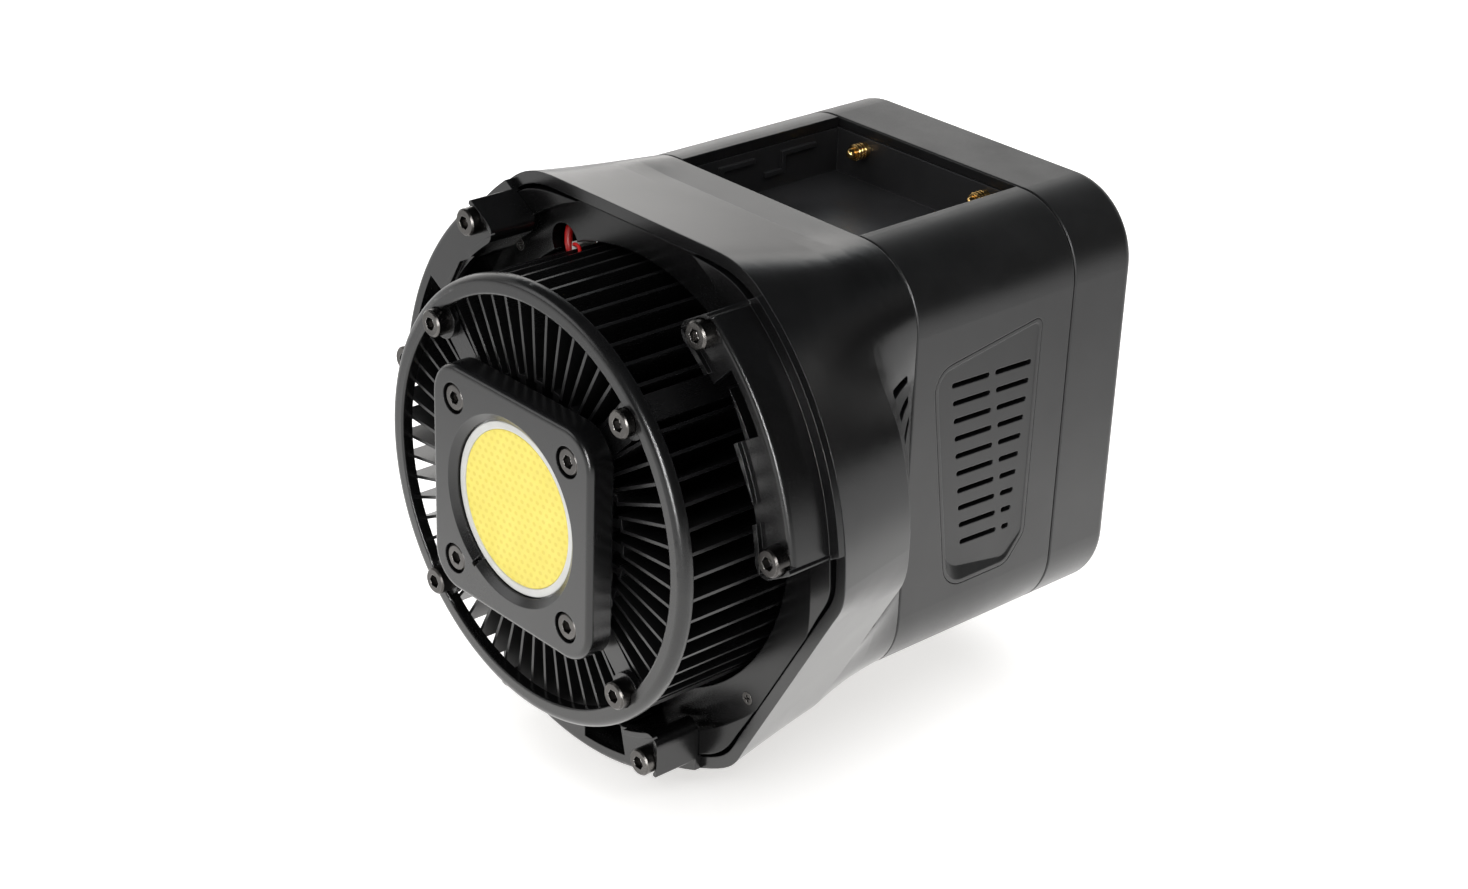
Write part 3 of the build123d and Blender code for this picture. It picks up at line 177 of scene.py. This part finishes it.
def plain_finish(
    name,
    dark,
    light,
    rough,
    rough_range=0.06,
    grain=0.0003,
    grain_height=0.00001,
    grain_cells=False,
    wave=0.0,
    edge_radius=0.0003,
    edge_tint=None,
    metallic=0.0,
    specular=0.5,
    stretch=(1, 1, 1),
):
    """A moulded, painted or machined surface: colour drift, smudges, fine grain, and sharp edges lightened
    partly as wear and partly as a painted highlight.

    The grain is a noise, or round cells with grain_cells. The wave is the size of shallow moulding
    waves, and stretch scales the grain along X, Y and Z.
    """
    drift_size = 0.012
    smudge_size = 0.03
    wear_and_highlight_size = 0.002
    grain_rough = 0.03
    wave_height = 0.00001
    material, g = new_material(name)
    fine = g.cells(grain) if grain_cells else g.noise(grain, 3.0, 0.6, stretch)
    drift = g.span(g.noise(drift_size, 4.0, 0.6), 0.3, 0.7)
    base = g.mix(drift, dark, light)
    smudge = g.noise(smudge_size, 5.0, 0.65)
    roughness = g.span(smudge, 0.3, 0.7, rough - rough_range, rough + rough_range)
    roughness = g.add(roughness, g.span(fine, 0.2, 0.8, -grain_rough, grain_rough))
    normal, edges = edge_mask(g, edge_radius)
    # Painted highlight: sharp edges are mixed in patches towards the edge tint, partly as wear and partly
    # as a painted highlight line.
    if edge_tint is not None:
        wear_and_highlight_patches = g.span(g.noise(wear_and_highlight_size, 4.0, 0.7), 0.35, 0.6, 0.35, 1.0)
        base = g.mix(g.times(edges, wear_and_highlight_patches), base, edge_tint)
    if wave:
        normal = g.bump(g.noise(wave), wave_height, Normal=normal)
    g.end_with_surface(
        {
            "Base Color": base,
            "Roughness": roughness,
            "Metallic": metallic,
            "Specular IOR Level": specular,
            "Normal": g.bump(fine, grain_height, Normal=normal),
        }
    )
    return material


def phosphor_gel(name):
    """Yellow phosphor gel over a tight grid of emitter dies."""
    pitch = 0.00185
    row_share = 0.866           # the rows' pitch as a share of the pitch in a row
    die_share = 0.6
    die_tint = (0.74, 0.585, 0.075)
    material, g = new_material(name)
    split = g.node("SeparateXYZ", {0: g.node("TexCoord").outputs["Object"]})
    row = g.math("DIVIDE", split.outputs["Z"], pitch * row_share)
    shift = g.times(g.math("MODULO", g.math("FLOOR", row), 2.0), 0.5)
    column = g.add(g.math("DIVIDE", split.outputs["X"], pitch), shift)
    across = g.math("SUBTRACT", g.math("FRACT", column), 0.5)
    upward = g.math("SUBTRACT", g.math("FRACT", row), 0.5)
    distance = g.math("SQRT", g.add(g.times(across, across), g.times(upward, upward)))
    die = g.span(distance, 0.18, 0.36, 1.0, 0.0, smooth=True)
    gel = g.mix(g.span(g.noise(0.006, 3.0, 0.6), 0.3, 0.7), (0.815, 0.69, 0.125), (0.875, 0.75, 0.15))
    height = g.add(g.noise(0.0007), g.times(die, -die_share))
    g.end_with_surface(
        {
            "Base Color": g.mix(g.times(die, die_share), gel, die_tint),
            "Roughness": g.span(g.noise(0.0015, 3.0, 0.6), 0.3, 0.7, 0.42, 0.55),
            "Subsurface Weight": 0.25,
            "Subsurface Radius": (0.0012, 0.0009, 0.0003),
            "Specular IOR Level": 0.35,
            "Normal": g.bump(height, 0.00003),
        }
    )
    return material


def smoked_glass(name):
    """Dark display glass with faint smears."""
    material, g = new_material(name)
    smear = g.noise(0.008, 5.0, 0.7)
    g.end_with_surface(
        {
            "Base Color": g.mix(g.span(smear, 0.3, 0.7), (0.004, 0.005, 0.006), (0.008, 0.009, 0.011)),
            "Roughness": g.span(smear, 0.35, 0.7, 0.04, 0.14),
            "Coat Weight": 1.0,
            "Coat Roughness": 0.03,
        }
    )
    return material


def grey(value):
    """A barely cool grey."""
    return (value, value, value * 1.06)


def black(dark, light, rough, **details):
    """The settings of a near-black finish."""
    return dict(dark=grey(dark), light=grey(light), rough=rough, **details)


def metal(dark, light, rough, **details):
    """The settings of a bare or plated metal."""
    return dict(dark=dark, light=light, rough=rough, metallic=1.0, **details)


SPECIAL_FINISHES = {"phosphor": phosphor_gel, "display_glass": smoked_glass}

PLAIN_FINISHES = {
    "satin_black_metal": black(
        0.0032, 0.0058, 0.25, rough_range=0.03, grain=0.00022, grain_height=0.000012,
        edge_radius=0.00025, edge_tint=grey(0.05), specular=0.5,
    ),
    "black_anodised": black(
        0.0035, 0.007, 0.30, grain=0.00012, edge_radius=0.0001, edge_tint=grey(0.035),
        stretch=(1, 0.03, 1),
    ),
    "black_plastic_gloss": black(
        0.003, 0.005, 0.25, rough_range=0.03, grain=0.0002, grain_height=0.000003, wave=0.004,
        edge_tint=grey(0.03), specular=0.36,
    ),
    # Painted highlight: the pale edge tint draws thin bright lines along the collar's edges.
    "collar_plastic": black(
        0.003, 0.006, 0.22, rough_range=0.025, grain=0.0002, grain_height=0.000004, wave=0.006,
        edge_radius=0.00028, edge_tint=grey(0.09),
    ),
    "textured_plastic": black(
        0.005, 0.009, 0.34, grain=0.00028, grain_height=0.00002, edge_tint=grey(0.05),
    ),
    "tray_plastic": black(
        0.014, 0.021, 0.38, grain=0.0004, grain_height=0.00002, edge_tint=grey(0.03),
    ),
    "panel_plastic": black(0.007, 0.010, 0.30, edge_tint=grey(0.04)),
    "knob_plastic": black(0.009, 0.014, 0.36, edge_tint=grey(0.05)),
    "button_rubber": black(0.020, 0.030, 0.60),
    "switch_plastic": black(0.009, 0.014, 0.35),
    "rocker_plastic": black(0.010, 0.016, 0.28),
    "fan_plastic": black(0.009, 0.015, 0.42),
    "component_black": black(0.010, 0.018, 0.50),
    # Painted highlight: the pale edge tint puts glints on the screws' edges, besides wear.
    "black_oxide_steel": metal(
        (0.055, 0.052, 0.050), (0.11, 0.105, 0.10), 0.30, rough_range=0.1, grain=0.00025,
        grain_height=0.000012, edge_radius=0.00018, edge_tint=(0.32, 0.31, 0.30),
    ),
    "bare_steel": metal((0.42, 0.42, 0.43), (0.55, 0.55, 0.56), 0.30, grain=0.0002, grain_height=0.000006),
    "bare_aluminium": metal((0.55, 0.56, 0.57), (0.68, 0.69, 0.70), 0.32, stretch=(1, 1, 12)),
    "gold_plate": metal((0.80, 0.50, 0.17), (0.95, 0.66, 0.27), 0.18, grain=0.00015, grain_height=0.000006),
    "bronze": metal((0.45, 0.24, 0.10), (0.60, 0.34, 0.15), 0.35),
    "motor_iron": metal((0.25, 0.25, 0.26), (0.38, 0.38, 0.40), 0.45),
    "copper_coil": metal((0.50, 0.20, 0.08), (0.72, 0.33, 0.15), 0.30, grain=0.0009, grain_height=0.0002),
    "white_silicone": dict(
        dark=(0.56, 0.56, 0.54), light=(0.66, 0.66, 0.64), rough=0.35, grain=0.0012,
        grain_height=0.00004, edge_radius=0.0001,
    ),
    "thermal_rubber": dict(dark=(0.18, 0.20, 0.22), light=(0.24, 0.26, 0.28), rough=0.80),
    "circuit_board": dict(
        dark=(0.006, 0.05, 0.022), light=(0.012, 0.085, 0.036), rough=0.35, grain=0.0012,
        grain_height=0.00004, grain_cells=True,
    ),
    "capacitor_can": dict(dark=(0.010, 0.012, 0.03), light=(0.016, 0.02, 0.045), rough=0.40),
    "red_wire": dict(dark=(0.55, 0.006, 0.006), light=(0.75, 0.012, 0.012), rough=0.35, grain=0.0008),
    "white_plug": dict(dark=(0.70, 0.69, 0.66), light=(0.82, 0.81, 0.78), rough=0.42),
}


def make_material(name):
    """The material of one of the record's slots."""
    if name in SPECIAL_FINISHES:
        return SPECIAL_FINISHES[name](name)
    return plain_finish(name, **PLAIN_FINISHES[name])


def dress_parts():
    """Gives every part the material of its slot, made once for each slot."""
    made = {}
    for node in frame["nodes"].values():
        for index, old in enumerate(node.data.materials):
            slot = old.name.split(".")[0]
            if slot not in made:
                made[slot] = make_material(slot)
            node.data.materials[index] = made[slot]
        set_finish(node, slot)


def soften(name, width, segments):
    """Rounds a casting's sharp edges."""
    bevel = frame["nodes"][name].modifiers.new("rounding", "BEVEL")
    bevel.width = width
    bevel.segments = segments
    bevel.limit_method = "ANGLE"
    bevel.angle_limit = math.radians(50)
    bevel.harden_normals = False


def shortening_spring(name, side, joint):
    """One contact spring, on the right for side 1, cut from the rigid pair and fixed to the parent body of
    its pin's joint.
    """
    rigid = frame["nodes"]["contact_springs"]
    coil = bmesh.new()
    coil.from_mesh(rigid.data)
    other_spring = [vertex for vertex in coil.verts if vertex.co.x * side < 0]
    bmesh.ops.delete(coil, geom=other_spring, context="VERTS")
    mesh = rigid.data.copy()
    coil.to_mesh(mesh)
    coil.free()
    spring = bpy.data.objects.new(name, mesh)
    bpy.context.scene.collection.objects.link(spring)
    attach(spring, joint["parent"])
    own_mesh(spring)
    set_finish(spring, rigid["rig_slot"])
    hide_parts("contact_springs")


def contact_springs():
    """Two springs in place of the rigid pair, one behind each contact pin."""
    joints = {joint["name"]: joint for joint in frame["joints"]}
    shortening_spring("contact_spring_left", -1, joints["contact_left_press"])
    shortening_spring("contact_spring_right", 1, joints["contact_right_press"])


# ---------------------------------------------------------------- studio

FLOOR_Z = cad_low.z - 0.0004
PART_MIDDLE = (0, 0.05, 0)
WARM_WHITE = (1.0, 0.985, 0.965)


def plain_floor():
    """A wide pale floor, whiter further out; glossy faces see it bright near the part and dim beyond."""
    half = 6.0
    middle = (0.03, 0.04, FLOOR_Z)
    material, g = new_material("studio_floor")
    offset = g.vector("SUBTRACT", g.node("TexCoord").outputs["Object"], middle)
    away = g.vector("LENGTH", offset, output="Value")
    mirrored = g.span(away, 0.12, 0.28, 1.15, 0.25, smooth=True)
    seen_directly = g.span(away, 0.4, 2.0, 0.62, 1.1)
    seen_glossy = g.node("LightPath").outputs["Is Glossy Ray"]
    speckle = g.span(g.noise(0.4, 3.0), 0.3, 0.7)
    g.end_with_surface(
        {
            "Base Color": g.mix(speckle, (0.93, 0.93, 0.93), (0.95, 0.95, 0.95)),
            "Roughness": 0.9,
            "Specular IOR Level": 0.1,
            "Emission Color": WARM_WHITE,
            "Emission Strength": g.span(seen_glossy, 0.0, 1.0, seen_directly, mirrored),
        }
    )
    mesh = bpy.data.meshes.new("floor")
    corners = [(x * half, y * half, FLOOR_Z) for x, y in ((-1, -1), (1, -1), (1, 1), (-1, 1))]
    mesh.from_pydata(corners, [], [(0, 1, 2, 3)])
    mesh.materials.append(material)
    floor = bpy.data.objects.new("floor", mesh)
    bpy.context.scene.collection.objects.link(floor)


def backdrop():
    """Plain white for the camera; glossy faces see a low bright wall behind and to the left."""
    world = bpy.data.worlds.new("studio")
    world.use_nodes = True
    bpy.context.scene.world = world
    g = Graph(world.node_tree)
    direction = g.node("TexCoord").outputs["Generated"]
    height = g.node("SeparateXYZ", {0: direction}).outputs["Z"]
    behind = g.vector("DOT_PRODUCT", direction, (-0.72, 0.69, 0), output="Value")
    leftward = g.vector("DOT_PRODUCT", direction, (-1, -1, 0), output="Value")
    wall = g.span(height, 0.36, 0.60, 1.0, 0.0, smooth=True)
    bright = g.span(behind, 0.1, 0.95, 0.05, 2.0, smooth=True)
    low_part = g.span(leftward, -0.11, 0.11, 0.2, 1.0)
    high_part = 0.85
    above = g.span(height, 0.16, 0.30)
    level = g.add(g.times(low_part, g.math("SUBTRACT", 1.0, above)), g.times(above, high_part))
    strength = g.add(g.times(wall, g.times(bright, level)), 0.02)
    tint = g.mix(wall, (0.85, 0.95, 1.0), WARM_WHITE)
    mirrored = g.node("Background", {"Color": tint, "Strength": strength})
    plain = g.node("Background", {"Color": (1, 1, 1), "Strength": 1.0})
    seen = g.node("LightPath").outputs["Is Camera Ray"]
    both = g.node("MixShader", {0: seen, 1: mirrored.outputs[0], 2: plain.outputs[0]})
    g.node("OutputWorld", {"Surface": both.outputs[0]})


def soft_light(name, place, width, height, power):
    """A rectangular lamp that looks at the part and that the camera doesn't see."""
    data = bpy.data.lights.new(name, "AREA")
    data.shape = "RECTANGLE"
    data.size = width
    data.size_y = height
    data.energy = power
    lamp = bpy.data.objects.new(name, data)
    bpy.context.scene.collection.objects.link(lamp)
    lamp.location = place
    aim = Vector(PART_MIDDLE) - Vector(place)
    lamp.rotation_mode = "QUATERNION"
    lamp.rotation_quaternion = aim.to_track_quat("-Z", "Y")
    lamp.visible_camera = False
    return lamp


def light_studio():
    """Soft fill from overhead and in front, a panel front left, and two strips seen only in reflections."""
    strip_width = 0.03
    strip_height = 0.75
    soft_light("overhead", (0.1, 0.0, 1.3), 2.4, 2.4, 27.0).visible_glossy = False
    soft_light("front", (0.5, -1.4, 0.9), 1.0, 0.8, 4.8).visible_glossy = False
    soft_light("front_left", (-0.9, -1.1, 0.55), 0.9, 0.7, 4.0)
    for name, place in (("strip_a", (0.74, -0.95, 0.32)), ("strip_b", (0.60, -1.04, 0.32))):
        soft_light(name, place, strip_width, strip_height, 7.5).visible_diffuse = False


def front_right_camera():
    """A camera in front, to the right and above, looking a little down at the part."""
    right = Vector((0.665454, 0.745670, 0.033867))
    up = Vector((-0.349067, 0.270770, 0.897130))
    back = right.cross(up)
    data = bpy.data.cameras.new("camera")
    data.sensor_width = 36.0
    data.lens = 66.56
    data.clip_start = 0.01
    data.clip_end = 50.0
    camera = bpy.data.objects.new("camera", data)
    bpy.context.scene.collection.objects.link(camera)
    turn = Matrix((right, up, back)).transposed().to_4x4()
    camera.matrix_world = Matrix.Translation((0.35927, -0.27647, 0.23684)) @ turn
    bpy.context.scene.camera = camera


dress_parts()
contact_springs()
soften("heatsink", 0.00018, 2)
plain_floor()
backdrop()
light_studio()
front_right_camera()

bpy.context.scene.view_settings.view_transform = "Standard"
bpy.context.scene.view_settings.look = "None"
